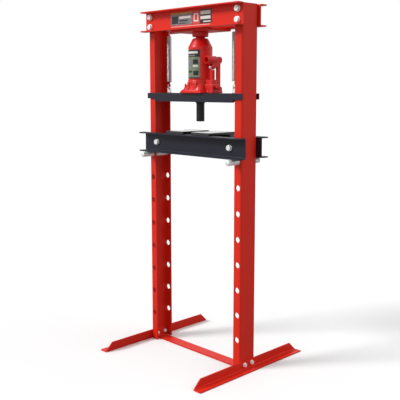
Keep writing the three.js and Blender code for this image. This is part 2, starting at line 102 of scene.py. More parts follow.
def add_rings(bm, rings, closed=False):
    """Skins neighbouring rings of points. A ring of one point is a tip."""
    loops = [[bm.verts.new(point) for point in ring] for ring in rings]
    pairs = list(zip(loops, loops[1:])) + ([(loops[-1], loops[0])] if closed else [])
    for a, b in pairs:
        count = max(len(a), len(b))
        for i in range(count):
            j = (i + 1) % count
            corners = dict.fromkeys((a[i % len(a)], a[j % len(a)], b[j % len(b)], b[i % len(b)]))
            if len(corners) > 2:
                bm.faces.new(list(corners))
    return loops


def add_prism(bm, outline, axis, low, high):
    loops = add_rings(bm, [[at(axis, u, v, w) for u, v in outline] for w in (low, high)])
    for loop in loops:
        bm.faces.new(loop)


def add_block(bm, low, high):
    outline = [(low[0], low[1]), (high[0], low[1]), (high[0], high[1]), (low[0], high[1])]
    add_prism(bm, outline, "z", low[2], high[2])


def circle(axis, radius, along, middle, sides=ROUND):
    if radius <= 0:
        return [at(axis, middle[0], middle[1], along)]
    turns = (2 * math.pi * i / sides for i in range(sides))
    u, v = middle
    return [at(axis, u + radius * math.cos(t), v + radius * math.sin(t), along) for t in turns]


def add_turned(bm, profile, axis="z", middle=(0, 0), sides=ROUND):
    """A turned solid from (radius, place along the axis) pairs, which end on the axis or close."""
    closed = profile[0][0] > 0 and profile[-1][0] > 0
    add_rings(bm, [circle(axis, radius, along, middle, sides) for radius, along in profile], closed)


def add_rod(bm, axis, radius, low, high, middle, chamfer=0.0, sides=HOLE_SIDES):
    if chamfer:
        profile = [(0, low), (radius - chamfer, low), (radius, low + chamfer),
                   (radius, high - chamfer), (radius - chamfer, high), (0, high)]
    else:
        profile = [(0, low), (radius, low), (radius, high), (0, high)]
    add_turned(bm, profile, axis, middle, sides)


def add_wire(bm, points, radius, sides=10):
    """A round wire along points. Its section is carried along without twisting, and its ends are flat."""
    points = [Vector(p) for p in points]
    last = len(points) - 1
    across = None
    rings = []
    for i, point in enumerate(points):
        tangent = (points[min(i + 1, last)] - points[max(i - 1, 0)]).normalized()
        across = tangent.orthogonal() if across is None else across - tangent * across.dot(tangent)
        across.normalize()
        other = tangent.cross(across)
        turns = (2 * math.pi * k / sides for k in range(sides))
        rings.append([point + radius * (across * math.cos(t) + other * math.sin(t)) for t in turns])
    loops = add_rings(bm, rings)
    bm.faces.new(loops[0])
    bm.faces.new(loops[-1])


def arc(middle, radius, start, end, steps):
    """Points on an arc given in degrees, both ends included."""
    turns = [math.radians(start + (end - start) * i / steps) for i in range(steps + 1)]
    return [(middle[0] + radius * math.cos(t), middle[1] + radius * math.sin(t)) for t in turns]


def channel_outline(web, tip, low, high, wall=WALL, steps=6):
    """A C section with the back of its web at u = web and its flanges reaching to u = tip."""
    s = 1 if tip > web else -1
    outer = wall + BEND
    turn = web + s * outer
    quarter = [math.pi / 2 * i / steps for i in range(steps + 1)]
    points = [(tip, low), (tip, low + wall)]
    points += [(turn - s * BEND * math.sin(t), low + outer - BEND * math.cos(t)) for t in quarter]
    points += [(turn - s * BEND * math.cos(t), high - outer + BEND * math.sin(t)) for t in quarter]
    points += [(tip, high - wall), (tip, high)]
    points += [(turn - s * outer * math.sin(t), high - outer + outer * math.cos(t)) for t in quarter]
    points += [(turn - s * outer * math.cos(t), low + outer - outer * math.sin(t)) for t in quarter]
    return points


def rounded_rectangle(low, high, radius, steps=6):
    points = []
    for x, y, start in ((high[0] - radius, high[1] - radius, 0), (low[0] + radius, high[1] - radius, 90),
                        (low[0] + radius, low[1] + radius, 180), (high[0] - radius, low[1] + radius, 270)):
        points += arc((x, y), radius, start, start + 90, steps)
    return points


# ---- object helpers ---------------------------------------------------------
def make(name, fill):
    """A mesh object whose faces fill(bm) draws, in millimetres."""
    bm = bmesh.new()
    fill(bm)
    bmesh.ops.recalc_face_normals(bm, faces=bm.faces)
    bmesh.ops.scale(bm, vec=(MM, MM, MM), verts=bm.verts)
    mesh = bpy.data.meshes.new(name)
    bm.to_mesh(mesh)
    bm.free()
    obj = bpy.data.objects.new(name, mesh)
    bpy.context.scene.collection.objects.link(obj)
    return obj


def apply_modifiers(obj):
    bpy.context.view_layer.update()
    graph = bpy.context.evaluated_depsgraph_get()
    old = obj.data
    mesh = bpy.data.meshes.new_from_object(obj.evaluated_get(graph))
    obj.modifiers.clear()
    obj.data = mesh
    bpy.data.meshes.remove(old)
    mesh.name = obj.name


def combine(obj, other, operation, solver="EXACT"):
    """Joins other to obj or cuts it away. The other object is used up."""
    modifier = obj.modifiers.new("combine", "BOOLEAN")
    modifier.operation = operation
    modifier.object = other
    modifier.solver = solver
    apply_modifiers(obj)
    mesh = other.data
    bpy.data.objects.remove(other)
    bpy.data.meshes.remove(mesh)


def soften(obj, width, segments=2):
    """Small round edges where faces meet sharply."""
    bevel = obj.modifiers.new("edges", "BEVEL")
    bevel.width = width * MM
    bevel.segments = segments
    bevel.limit_method = "ANGLE"
    bevel.angle_limit = math.radians(35)
    apply_modifiers(obj)


def cast(obj, voxel, passes):
    """Melts overlapping shells into one casting with soft inside corners."""
    remesh = obj.modifiers.new("melt", "REMESH")
    remesh.mode = "VOXEL"
    remesh.voxel_size = voxel * MM
    smooth = obj.modifiers.new("smooth", "SMOOTH")
    smooth.factor = 0.5
    smooth.iterations = passes
    apply_modifiers(obj)


def finish_piece(obj, body, looks, nodes=(), smooth_angle=50):
    """The last step of each piece: shading, materials, its body and the CAD nodes it stands for."""
    mesh = obj.data
    mesh.polygons.foreach_set("use_smooth", [True] * len(mesh.polygons))
    mesh.set_sharp_from_angle(angle=math.radians(smooth_angle))
    normals = obj.modifiers.new("normals", "WEIGHTED_NORMAL")
    normals.keep_sharp = True
    apply_modifiers(obj)
    indices = [polygon.material_index for polygon in obj.data.polygons]
    obj.data.materials.clear()
    for look in looks:
        obj.data.materials.append(look)
    obj.data.polygons.foreach_set("material_index", indices)
    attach(obj, body)
    if nodes:
        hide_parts(*nodes)
    return obj


def piece(node, fill, look, holes=None, edge=0.0, segments=2, smooth_angle=50):
    """A CAD node made again in fine detail, on the node's own body."""
    obj = make(f"{node}_visual", fill)
    if holes:
        combine(obj, make("cutter", holes), "DIFFERENCE")
    if edge:
        soften(obj, edge, segments)
    return finish_piece(obj, BODY_OF[node], [look], [node], smooth_angle)


# ---- materials ----------------------------------------------------------------
def surface(name, dark, light, roughness, metallic=0.0, coat=0.0, specular=0.5,
            patch=7.0, grain=500.0, bump=0.1, depth=0.2, stretch=(1, 1, 1)):
    """A finish whose colour drifts between dark and light in soft patches, with roughness that drifts
    too and a fine bump. patch and grain are how many features there are to a metre, depth is in mm."""
    material = bpy.data.materials.new(name)
    material.use_nodes = True
    nodes = material.node_tree.nodes
    links = material.node_tree.links
    shader = nodes["Principled BSDF"]
    shader.inputs["Metallic"].default_value = metallic
    shader.inputs["Coat Weight"].default_value = coat
    shader.inputs["Coat Roughness"].default_value = 0.12
    shader.inputs["Specular IOR Level"].default_value = specular
    where = nodes.new("ShaderNodeTexCoord")
    mapping = nodes.new("ShaderNodeMapping")
    mapping.inputs["Scale"].default_value = stretch
    links.new(where.outputs["Object"], mapping.inputs["Vector"])

    def noise(scale, detail):
        node = nodes.new("ShaderNodeTexNoise")
        node.inputs["Scale"].default_value = scale
        node.inputs["Detail"].default_value = detail
        links.new(mapping.outputs["Vector"], node.inputs["Vector"])
        return node.outputs["Fac"]

    ramp = nodes.new("ShaderNodeValToRGB")
    ramp.color_ramp.elements[0].position = 0.35
    ramp.color_ramp.elements[0].color = (*dark, 1)
    ramp.color_ramp.elements[1].position = 0.65
    ramp.color_ramp.elements[1].color = (*light, 1)
    links.new(noise(patch, 5), ramp.inputs["Fac"])
    links.new(ramp.outputs["Color"], shader.inputs["Base Color"])

    drift = nodes.new("ShaderNodeMapRange")
    drift.inputs["From Min"].default_value = 0.3
    drift.inputs["From Max"].default_value = 0.7
    drift.inputs["To Min"].default_value = roughness[0]
    drift.inputs["To Max"].default_value = roughness[1]
    links.new(noise(patch * 5, 4), drift.inputs["Value"])
    links.new(drift.outputs["Result"], shader.inputs["Roughness"])

    relief = nodes.new("ShaderNodeBump")
    relief.inputs["Strength"].default_value = bump
    relief.inputs["Distance"].default_value = depth * MM
    links.new(noise(grain, 2), relief.inputs["Height"])
    links.new(relief.outputs["Normal"], shader.inputs["Normal"])
    return material


RED = surface("red_enamel", (0.67, 0.018, 0.006), (0.74, 0.023, 0.009), (0.34, 0.46), specular=0.25,
              patch=3, grain=700, bump=0.12, depth=0.25)
BLACK = surface("black_enamel", (0.011, 0.011, 0.022), (0.016, 0.016, 0.030), (0.30, 0.44), specular=0.38,
                patch=4, grain=700, bump=0.12, depth=0.25)
PLATE_BLACK = surface("plate_enamel", (0.010, 0.010, 0.013), (0.015, 0.015, 0.018), (0.05, 0.11),
                      coat=1.0, specular=1.0, patch=6, grain=300, bump=0.05, depth=0.2)
JACK_RED = surface("jack_enamel", (0.68, 0.007, 0.004), (0.76, 0.011, 0.006), (0.34, 0.46), coat=0.12,
                   specular=0.4, patch=8, grain=260, bump=0.06, depth=0.3)
CAST_RED = surface("cast_enamel", (0.64, 0.007, 0.004), (0.74, 0.011, 0.006), (0.30, 0.44), coat=0.15,
                   specular=0.4, patch=14, grain=420, bump=0.3, depth=0.5)
ZINC = surface("zinc_plating", (0.86, 0.86, 0.87), (0.94, 0.94, 0.94), (0.38, 0.54), metallic=0.4,
               patch=60, grain=1500, bump=0.1, depth=0.08)
SPRING_STEEL = surface("drawn_wire", (0.46, 0.45, 0.46), (0.62, 0.61, 0.62), (0.26, 0.42), metallic=1.0,
                       patch=120, grain=1800, bump=0.12, depth=0.08)
STEEL = surface("ground_steel", (0.58, 0.59, 0.61), (0.70, 0.70, 0.71), (0.16, 0.30), metallic=1.0,
                patch=30, grain=900, bump=0.1, depth=0.06, stretch=(1, 1, 12))
BLUED = surface("blued_steel", (0.008, 0.008, 0.010), (0.014, 0.014, 0.017), (0.26, 0.42), specular=0.4,
                patch=18, grain=1200, bump=0.12, depth=0.12, stretch=(1, 1, 6))


# ---- posts, beams, feet and bed channels ----------------------------------------
def bolt_hole(bm, bolt_node, axis, low, high, size):
    place = centre(bolt_node)
    middle = (place.x, place.z) if axis == "y" else (place.y, place.z)
    add_rod(bm, axis, size["hole"], low, high, middle, sides=24)


def make_post(side, sign):
    low, high = box(f"{side}_post")
    web, tip = (high.x, low.x) if sign > 0 else (low.x, high.x)
    hole_x = centre(f"{side}_bed_pin").x

    def section(bm):
        add_prism(bm, channel_outline(web, tip, low.y, high.y), "z", low.z, high.z)

    def holes(bm):
        for k in range(HOLE_COUNT):
            add_rod(bm, "y", HOLE_RADIUS, low.y - 1, high.y + 1, (hole_x, HOLE_FIRST + k * HOLE_PITCH))
        for row in ("lower", "upper"):
            bolt_hole(bm, f"{side}_front_{row}_bolt", "y", low.y - 1, high.y + 1, BOLT)
        for end, _ in ENDS:
            bolt_hole(bm, f"{side}_foot_{end}_bolt", "x", web - WALL - 1, web + WALL + 1, FOOT_BOLT)

    piece(f"{side}_post", section, RED, holes, EDGE)


def make_channel(node, bolts, look):
    """A channel along X on the outside of the posts, its flanges reaching away from them."""
    low, high = box(node)
    web, tip = (low.y, high.y) if low.y > 0 else (high.y, low.y)

    def section(bm):
        add_prism(bm, channel_outline(web, tip, low.z, high.z), "x", low.x, high.x)

    def holes(bm):
        for bolt in bolts:
            bolt_hole(bm, bolt, "y", web - WALL - 1, web + WALL + 1, BOLT)

    piece(node, section, look, holes, EDGE)


def make_head_plate():
    low, high = box("head_plate")
    piece("head_plate", lambda bm: add_block(bm, low, high), RED, edge=0.8)


def make_foot(side, sign):
    low, high = box(f"{side}_foot")
    inside, tip = (low.x, high.x) if sign > 0 else (high.x, low.x)
    corner = 1.5
    fillet = 3

    def angle(bm):
        leg = inside + sign * FOOT_PLATE
        half = arc((leg + sign * fillet, low.z + FOOT_PLATE + fillet), fillet,
                   270, 180 if sign > 0 else 360, 5)
        heel = arc((inside + sign * corner, low.z + corner), corner, 180 if sign > 0 else 0, 270, 4)
        heel = heel if sign > 0 else arc((inside - corner, low.z + corner), corner, 0, -90, 4)
        outline = [(tip, low.z), (tip, low.z + FOOT_PLATE)] + half
        outline += [(leg, high.z), (inside, high.z)] + heel
        add_prism(bm, outline, "y", low.y, high.y)

    def cuts(bm):
        for end in (-1, 1):
            tip_y = high.y if end > 0 else low.y
            wedge = [(tip_y, low.z + FOOT_PLATE), (tip_y - end * FOOT_END_CUT, high.z),
                     (tip_y - end * FOOT_END_CUT, high.z + 5), (tip_y + end * 5, high.z + 5),
                     (tip_y + end * 5, low.z + FOOT_PLATE)]
            add_prism(bm, wedge, "x", inside - sign * 1, inside + sign * (FOOT_PLATE + fillet + 2))
        for end, _ in ENDS:
            bolt_hole(bm, f"{side}_foot_{end}_bolt", "x", inside - 6, inside + 6, FOOT_BOLT)

    piece(f"{side}_foot", angle, RED, cuts, EDGE)


def make_base_bar():
    low, high = box("base_bar")

    def strip(bm):
        outline = [(x, z) for z, x in channel_outline(low.z, high.z, low.x, high.x)]
        add_prism(bm, outline, "y", low.y, high.y)

    def holes(bm):
        for side, _ in SIDES:
            for end, _ in ENDS:
                place = centre(f"{side}_foot_{end}_bolt")
                add_rod(bm, "x", FOOT_BOLT["hole"], place.x - 30, place.x + 30, (place.y, place.z), sides=24)

    piece("base_bar", strip, RED, holes, EDGE)


# ---- fasteners -------------------------------------------------------------------
def hexagon(axis, apothem, along, middle, turn, sides=36):
    """A ring of points on a hexagon. along may be a function of the distance from the centre."""
    points = []
    for i in range(sides):
        t = 2 * math.pi * i / sides
        off = (t + math.pi / 6) % (math.pi / 3) - math.pi / 6
        radius = apothem / math.cos(off)
        u = middle[0] + radius * math.cos(t + turn)
        v = middle[1] + radius * math.sin(t + turn)
        points.append(at(axis, u, v, along(radius)))
    return points


def make_bolt(node, axis, sign, size, turn):
    """A hexagon bolt with its washer as one skin, from the middle of its head to its thread's end."""
    low, high = box(node)
    place = (low + high) / 2
    index = "xyz".index(axis)
    face, tip = (high[index], low[index]) if sign > 0 else (low[index], high[index])
    length = abs(face - tip)
    middle = (place.x, place.z) if axis == "y" else (place.y, place.z)
    apothem = size["head"] * COS30
    flat = apothem * 0.95
    seat = size["head_height"]
    under = seat + size["washer_thick"]
    root = size["radius"] - 0.55 * size["pitch"]

    def fill(bm):
        def ring(radius, depth):
            points = circle(axis, radius, face - sign * depth, middle, 36)
            spin = int(round(turn / (math.pi / 18)))
            return points[spin % len(points):] + points[:spin % len(points)] if len(points) > 1 else points

        rings = [ring(0, 0), ring(flat, 0),
                 hexagon(axis, apothem, lambda r: face - sign * (r - flat) * 0.58, middle, turn),
                 hexagon(axis, apothem, lambda r: face - sign * seat, middle, turn),
                 ring(size["washer"] - 0.3, seat), ring(size["washer"], seat + 0.3),
                 ring(size["washer"], under - 0.3), ring(size["washer"] - 0.3, under),
                 ring(size["radius"], under)]
        depth = max(length - size["thread"], under + 1)
        while depth < length - size["pitch"]:
            rings += [ring(size["radius"], depth), ring(root, depth + size["pitch"] / 2)]
            depth += size["pitch"]
        rings += [ring(root, length), ring(0, length)]
        add_rings(bm, rings)

    piece(node, fill, ZINC, smooth_angle=28)


def make_nut(node, axis, size, turn):
    low, high = box(node)
    place = (low + high) / 2
    index = "xyz".index(axis)
    start, end = low[index], high[index]
    middle = (place.x, place.z) if axis == "y" else (place.y, place.z)
    apothem = size["nut"] * COS30
    flat = apothem * 0.95
    spin = int(round(turn / (math.pi / 18)))

    def ring(radius, along):
        points = circle(axis, radius, along, middle, 36)
        return points[spin % 36:] + points[:spin % 36]

    def fill(bm):
        bore = size["hole"]
        add_rings(bm, [
            ring(flat, start),
            hexagon(axis, apothem, lambda r: start + (r - flat) * 0.58, middle, turn),
            hexagon(axis, apothem, lambda r: end - (r - flat) * 0.58, middle, turn),
            ring(flat, end), ring(bore + 0.8, end), ring(bore, end - 0.8),
            ring(bore, start + 0.8), ring(bore + 0.8, start)], closed=True)

    piece(node, fill, ZINC, smooth_angle=28)


def make_fasteners():
    dice = random.Random(7)

    def turn():
        return math.pi / 18 * dice.randrange(6)

    for side, sign in SIDES:
        for end, end_sign in ENDS:
            for row in ("lower", "upper"):
                make_bolt(f"{side}_{end}_{row}_bolt", "y", end_sign, BOLT, turn())
                make_nut(f"{side}_{end}_{row}_nut", "y", BOLT, turn())
            make_bolt(f"{side}_foot_{end}_bolt", "x", sign, FOOT_BOLT, turn())
            make_nut(f"{side}_foot_{end}_nut", "x", FOOT_BOLT, turn())
        make_bolt(f"{side}_bed_tie_bolt", "y", -1, BOLT, turn())
        make_nut(f"{side}_bed_tie_nut", "y", BOLT, turn())


# ---- bed fittings -----------------------------------------------------------------
def make_bed_fittings():
    for side, _ in SIDES:
        low, high = box(f"{side}_bed_spacer")
        place = (low + high) / 2
        outer = (high.x - low.x) / 2
        inner = BOLT["hole"]
        tube = [(outer - 0.5, low.y), (outer, low.y + 0.5), (outer, high.y - 0.5), (outer - 0.5, high.y),
                (inner, high.y), (inner, low.y)]
        piece(f"{side}_bed_spacer", lambda bm: add_turned(bm, tube, "y", (place.x, place.z)),
              BLACK, smooth_angle=30)

        low, high = box(f"{side}_bed_pin")
        place = (low + high) / 2
        radius = (high.x - low.x) / 2
        pin = [(0, low.y), (radius - 2, low.y), (radius - 0.5, low.y + 1), (radius, low.y + 2.5),
               (radius, high.y - 2.5), (radius - 0.5, high.y - 1), (radius - 2, high.y), (0, high.y)]
        piece(f"{side}_bed_pin", lambda bm: add_turned(bm, pin, "y", (place.x, place.z)),
              ZINC, smooth_angle=40)


ARBOR_NOTCH = {"depth": 16, "half": 26, "corner": 4}


def make_arbor_plates():
    for side, _ in SIDES:
        low, high = box(f"{side}_arbor_plate")
        depth, half, corner = ARBOR_NOTCH["depth"], ARBOR_NOTCH["half"], ARBOR_NOTCH["corner"]
        middle = (low.y + high.y) / 2
        outer = 3
        outline = arc((low.x + outer, low.y + outer), outer, 180, 270, 4)
        outline += arc((high.x - outer, low.y + outer), outer, 270, 360, 4)
        outline += arc((high.x - outer, high.y - outer), outer, 0, 90, 4)
        outline += arc((low.x + outer, high.y - outer), outer, 90, 180, 4)
        outline += [(low.x, middle + half)]
        outline += arc((low.x + depth - corner, middle + half - corner), corner, 90, 0, 4)
        outline += arc((low.x + depth - corner, middle - half + corner), corner, 0, -90, 4)
        outline += [(low.x, middle - half)]
        piece(f"{side}_arbor_plate", lambda bm: add_prism(bm, outline, "z", low.z, high.z),
              PLATE_BLACK, edge=0.8, segments=2)


# ---- crossbeam, press ram and springs -------------------------------------------------
CROSSBEAM = {"top": 988, "half": 204, "tab_bottom": 967, "inner": 40, "pad_half": 60}
LUG = {"x": 170, "z": 1003, "radius": 9, "hole": 5, "half_thick": 2}


def make_crossbeam():
    low, high = box("crossbeam")
    top = CROSSBEAM["top"]
    obj = make("crossbeam_visual", lambda bm: add_block(
        bm, (-CROSSBEAM["half"], -CROSSBEAM["inner"] - 1, top - WALL),
        (CROSSBEAM["half"], CROSSBEAM["inner"] + 1, top)))

    def side_plate(bm, inner, outer):
        half, tab, bottom = CROSSBEAM["half"], CROSSBEAM["tab_bottom"], low.z
        outline = [(low.x, top), (low.x, tab), (-half - 2, tab), (-half, tab - 2), (-half, bottom),
                   (half, bottom), (half, tab - 2), (half + 2, tab), (high.x, tab), (high.x, top)]
        add_prism(bm, outline, "y", inner, outer)

    def lug(bm, x):
        radius, z, thick = LUG["radius"], LUG["z"], LUG["half_thick"]
        outline = [(x - radius, top - 1), (x + radius, top - 1)] + arc((x, z), radius, 0, 180, 16)
        add_prism(bm, outline, "y", -thick, thick)

    def beads(bm, x):
        """A weld run round the foot of a lug."""
        radius, thick = LUG["radius"], LUG["half_thick"]
        path = rounded_rectangle((x - radius - 0.4, -thick - 0.6), (x + radius + 0.4, thick + 0.6), 1.2, 4)
        path = path + path[:2]
        add_wire(bm, [(px, py, top + 0.2) for px, py in path], 1.5, 8)

    parts = [lambda bm: side_plate(bm, -high.y, -CROSSBEAM["inner"]),
             lambda bm: side_plate(bm, CROSSBEAM["inner"], high.y),
             lambda bm: add_block(bm, (-CROSSBEAM["pad_half"], -CROSSBEAM["inner"] - 1, low.z),
                                  (CROSSBEAM["pad_half"], CROSSBEAM["inner"] + 1, low.z + WALL))]
    parts += [lambda bm, side=side: lug(bm, side * LUG["x"]) for _, side in SIDES]
    for part in parts:
        combine(obj, make("part", part), "UNION")

    def holes(bm):
        for _, side in SIDES:
            add_rod(bm, "y", LUG["hole"], -5, 5, (side * LUG["x"], LUG["z"]), sides=32)

    combine(obj, make("cutter", holes), "DIFFERENCE")
    soften(obj, EDGE)
    finish_piece(obj, "crossbeam", [BLACK, ZINC], ["crossbeam"])
    # Only the lugs stand above the top plate. They are plated, and the rest is enamelled.
    for face in obj.data.polygons:
        face.material_index = 1 if face.center.z > (top + 1) * MM else 0
    for name, side in SIDES:
        run = make(f"{name}_lug_weld", lambda bm: beads(bm, side * LUG["x"]))
        finish_piece(run, "crossbeam", [BLACK])


def make_press_ram():
    low, high = box("press_ram")
    radius, collar = 15, 19
    profile = [(0, low.z), (radius - 2, low.z), (radius, low.z + 2), (radius, high.z - 8)]
    profile += [(radius + (collar - radius) * (1 - math.cos(t)), high.z - 8 + 6 * math.sin(t))
                for t in (math.pi / 2 * i / 5 for i in range(1, 6))]
    profile += [(collar, high.z), (0, high.z)]
    piece("press_ram", lambda bm: add_turned(bm, profile), BLUED, smooth_angle=40)


SPRING = {"radius": 8.6, "wire": 1.4, "bottom": 1030, "top": 1199, "turns": 50, "steps": 18}
HOOK = {"radius": 7, "open": 50}


def hermite(start, leave, end, arrive, steps):
    """Points from start to end, leaving and arriving along the given directions."""
    points = []
    for i in range(steps + 1):
        s = i / steps
        points.append((2 * s**3 - 3 * s**2 + 1) * start + (s**3 - 2 * s**2 + s) * leave
                      + (3 * s**2 - 2 * s**3) * end + (s**3 - s**2) * arrive)
    return points


def hook(start, leave, axis_x, loop_z, up, across):
    """The end of a spring: from the last coil in to the axis, along it, and round a loop about loop_z."""
    radius, opening = HOOK["radius"], math.radians(HOOK["open"])
    neck = Vector((axis_x, 0, start.z + up * 8))
    points = hermite(start, leave * 14, neck, Vector((0, 0, up * 14)), 10)
    angles = [-opening + (math.pi + 2 * opening) * i / 28 for i in range(29)]
    loop = [Vector((axis_x, 0, loop_z)) + radius * (across * math.cos(a) + Vector((0, 0, up * math.sin(a))))
            for a in angles]
    arrive = across * math.sin(opening) + Vector((0, 0, up * math.cos(opening)))
    points += hermite(neck, Vector((0, 0, up * 8)), loop[0], arrive * 8, 8)[1:]
    return points + loop[1:]


def make_springs():
    for side, _ in SIDES:
        x = centre(f"{side}_return_spring").x
        radius, bottom, top = SPRING["radius"], SPRING["bottom"], SPRING["top"]
        hanger = centre(f"{side}_spring_hanger").z
        count = SPRING["turns"] * SPRING["steps"]
        coil = []
        for i in range(count + 1):
            turn = 2 * math.pi * i / SPRING["steps"]
            coil.append(Vector((x + radius * math.cos(turn), radius * math.sin(turn),
                                bottom + (top - bottom) * i / count)))
        upper = hook(coil[-1], Vector((0, 1, 0)), x, hanger - 1.3, 1, Vector((1, 0, 0)))
        lower = hook(coil[0], Vector((0, -1, 0)), x, LUG["z"] + 10.3, -1, Vector((0, 1, 0)))
        path = lower[::-1] + coil[1:] + upper[1:]
        spring = make(f"{side}_return_spring_visual", lambda bm: add_wire(bm, path, SPRING["wire"], 8))
        finish_blended(spring, f"{side}_return_spring")

        low, high = box(f"{side}_spring_hanger")
        place = (low + high) / 2
        piece(f"{side}_spring_hanger",
              lambda bm: add_rod(bm, "y", (high.x - low.x) / 2, low.y, high.y, (place.x, place.z)),
              ZINC, smooth_angle=40)


def finish_blended(spring, node):
    """A spring, whose upper hook hangs from the frame and lower hook from the crossbeam, gets smooth shading,
    the drawn wire finish and its transform baked in, and its CAD node is hidden. It is not put on either
    body.
    """
    mesh = spring.data
    mesh.polygons.foreach_set("use_smooth", [True] * len(mesh.polygons))
    mesh.materials.append(SPRING_STEEL)
    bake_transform(spring)
    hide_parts(node)


# ---- bottle jack ------------------------------------------------------------------------
PUMP_X = 61           # the pump's axis, beside the tank
PUMP = {"radius": 9, "bore": 5, "bottom": 1026.2, "seat": 9.1, "seat_bottom": 1026}
PUMP_BOSS = {"from": 30, "to": 80, "half": 18}
TANK_RADIUS = 44
CYLINDER = {"outer": 20, "inner": 14.9, "seat": 20.3, "seat_bottom": 1000}
RAM_TOP = 1188.3
LINK = {"y": 30, "lower_z": 1003.5, "upper_z": 1102, "half_x": 4, "radius": 9, "pin": 3, "hole": 3.3}
PLUNGER_PIN = {"z": 1080, "radius": 3}
VALVE = {"z": 1008, "stem": 5, "hole": 5.3, "hole_bottom": 70, "knob_start": 82}


def add_fin(bm, turn, outline, half_thick):
    """An upright rib that stands out from the jack's axis in the direction of turn, in degrees."""
    t = math.radians(turn)
    out, along = Vector((math.cos(t), math.sin(t), 0)), Vector((-math.sin(t), math.cos(t), 0))
    loops = add_rings(bm, [[out * r + along * w + Vector((0, 0, z)) for r, z in outline]
                           for w in (-half_thick, half_thick)])
    for loop in loops:
        bm.faces.new(loop)


def superellipse(half, power, z, sides=96):
    points = []
    for i in range(sides):
        t = 2 * math.pi * i / sides
        c, s = math.cos(t), math.sin(t)
        r = half / (abs(c) ** power + abs(s) ** power) ** (1 / power)
        points.append((r * c, r * s, z))
    return points


def make_jack_base():
    low, _ = box("jack_base")
    collar_top = box("jack_tank")[0].z - GAP
    pump_top = box("jack_base")[1].z
    boss_from, boss_to, boss_half = PUMP_BOSS["from"], PUMP_BOSS["to"], PUMP_BOSS["half"]
    floor = low.z

    def casting(bm):
        add_prism(bm, rounded_rectangle((-55, -55), (55, 55), 5), "z", floor, floor + 4)
        skirt = [(0.5, 54, 9), (4, 53, 8), (7, 50, 6), (11, 47.5, 5), (17, 46, 4), (24, 45, 3),
                 (34, 44, 2.2), (42, 43.5, 2)]
        rings = [[(0, 0, floor + 0.5)]] + [superellipse(half, power, floor + h) for h, half, power in skirt]
        add_rings(bm, rings + [[(0, 0, floor + 42)]])
        add_turned(bm, [(0, floor + 30), (44, floor + 30), (46, floor + 34), (46, collar_top - 3),
                        (45.2, collar_top - 1), (43.5, collar_top), (0, collar_top)])
        corner = [(38, floor + 1), (75, floor + 1), (75, floor + 4.5), (69, floor + 10),
                  (62, floor + 15), (58, floor + 22), (57.5, floor + 34.5), (54, floor + 34.5),
                  (51, floor + 29), (44, floor + 31), (38, floor + 31)]
        for turn in (-135, 135):
            add_fin(bm, turn, corner, 3.5)
        low_corner = [(38, floor + 1), (75, floor + 1), (75, floor + 4), (58, floor + 8),
                      (50, floor + 16), (38, floor + 22)]
        add_fin(bm, -45, low_corner, 2.5)
        pillar = [(38, floor + 1), (53, floor + 1), (51.5, floor + 8), (50.5, floor + 24), (49.5, floor + 38),
                  (47, floor + 41), (38, floor + 41)]
        for turn in (-111, -69, 159, 201, 90):
            add_fin(bm, turn, pillar, 7)
        add_block(bm, (boss_from, -boss_half, floor), (boss_to, boss_half, floor + 30))
        add_block(bm, (boss_from, -boss_half + 4, floor), (boss_to - 5, boss_half - 4, collar_top))
        add_block(bm, (44, 10, floor), (PUMP_X + 11, LINK["y"] + 12.5, floor + 5.5))
        for side in (-1, 1):
            inner, outer = sorted((PUMP_X + side * 4.6, PUMP_X + side * 9))
            add_prism(bm, [(16, floor + 1), (42.5, floor + 1), (42.5, 1004)] + arc((33, 1003), 9.5, 0, 90, 5)
                      + [(16, 1012.5)], "x", inner, outer)

    obj = make("jack_base_visual", casting)
    cast(obj, 1.1, 3)

    def bores(bm):
        add_rod(bm, "z", CYLINDER["seat"], CYLINDER["seat_bottom"], collar_top + 5, (0, 0), sides=64)
        add_rod(bm, "z", PUMP["seat"], PUMP["seat_bottom"], collar_top + 5, (PUMP_X, 0), sides=48)
        add_rod(bm, "x", VALVE["hole"], VALVE["hole_bottom"], boss_to + 5, (0, VALVE["z"]), sides=32)
        add_rod(bm, "x", LINK["hole"], PUMP_X - 15, PUMP_X + 15, (LINK["y"], LINK["lower_z"]), sides=32)

    combine(obj, make("cutter", bores), "DIFFERENCE", "MANIFOLD")
    finish_piece(obj, "crossbeam", [CAST_RED], ["jack_base"])

    outer, bore, bottom = PUMP["radius"], PUMP["bore"], PUMP["bottom"]
    body = [(outer, bottom), (outer, 1040), (8.3, 1041), (8.3, 1043), (outer, 1044),
            (outer, pump_top - 8), (8.4, pump_top - 7.4), (8.4, pump_top - 6), (outer, pump_top - 5.4),
            (outer, pump_top - 1.2), (7.8, pump_top), (bore, pump_top), (bore, bottom)]
    pump = make("pump_cylinder", lambda bm: add_turned(bm, body, "z", (PUMP_X, 0), 48))
    finish_piece(pump, "crossbeam", [JACK_RED], smooth_angle=30)


def make_jack_tank():
    low, high = box("jack_tank")
    r, bottom, top = TANK_RADIUS, low.z, high.z
    shoulder, wall, hole = 1149, 3.5, 18.3
    slope = 38                                  # the shoulder's cone, in degrees from upright
    bulge, crown = 16, 5                        # radii of the bends below and above the cone
    profile = [(r - 0.6, bottom), (r, bottom + 0.6)]
    profile += arc((r - bulge, shoulder), bulge, 0, slope, 6)
    profile += arc((24.5, top - crown), crown, slope, 90, 6)
    profile += [(hole, top), (hole, top - wall), (24, top - wall)]
    profile += arc((r - bulge, shoulder), bulge - wall, slope, 0, 6) + [(r - wall, bottom)]
    piece("jack_tank", lambda bm: add_turned(bm, profile, sides=128), JACK_RED, smooth_angle=35)


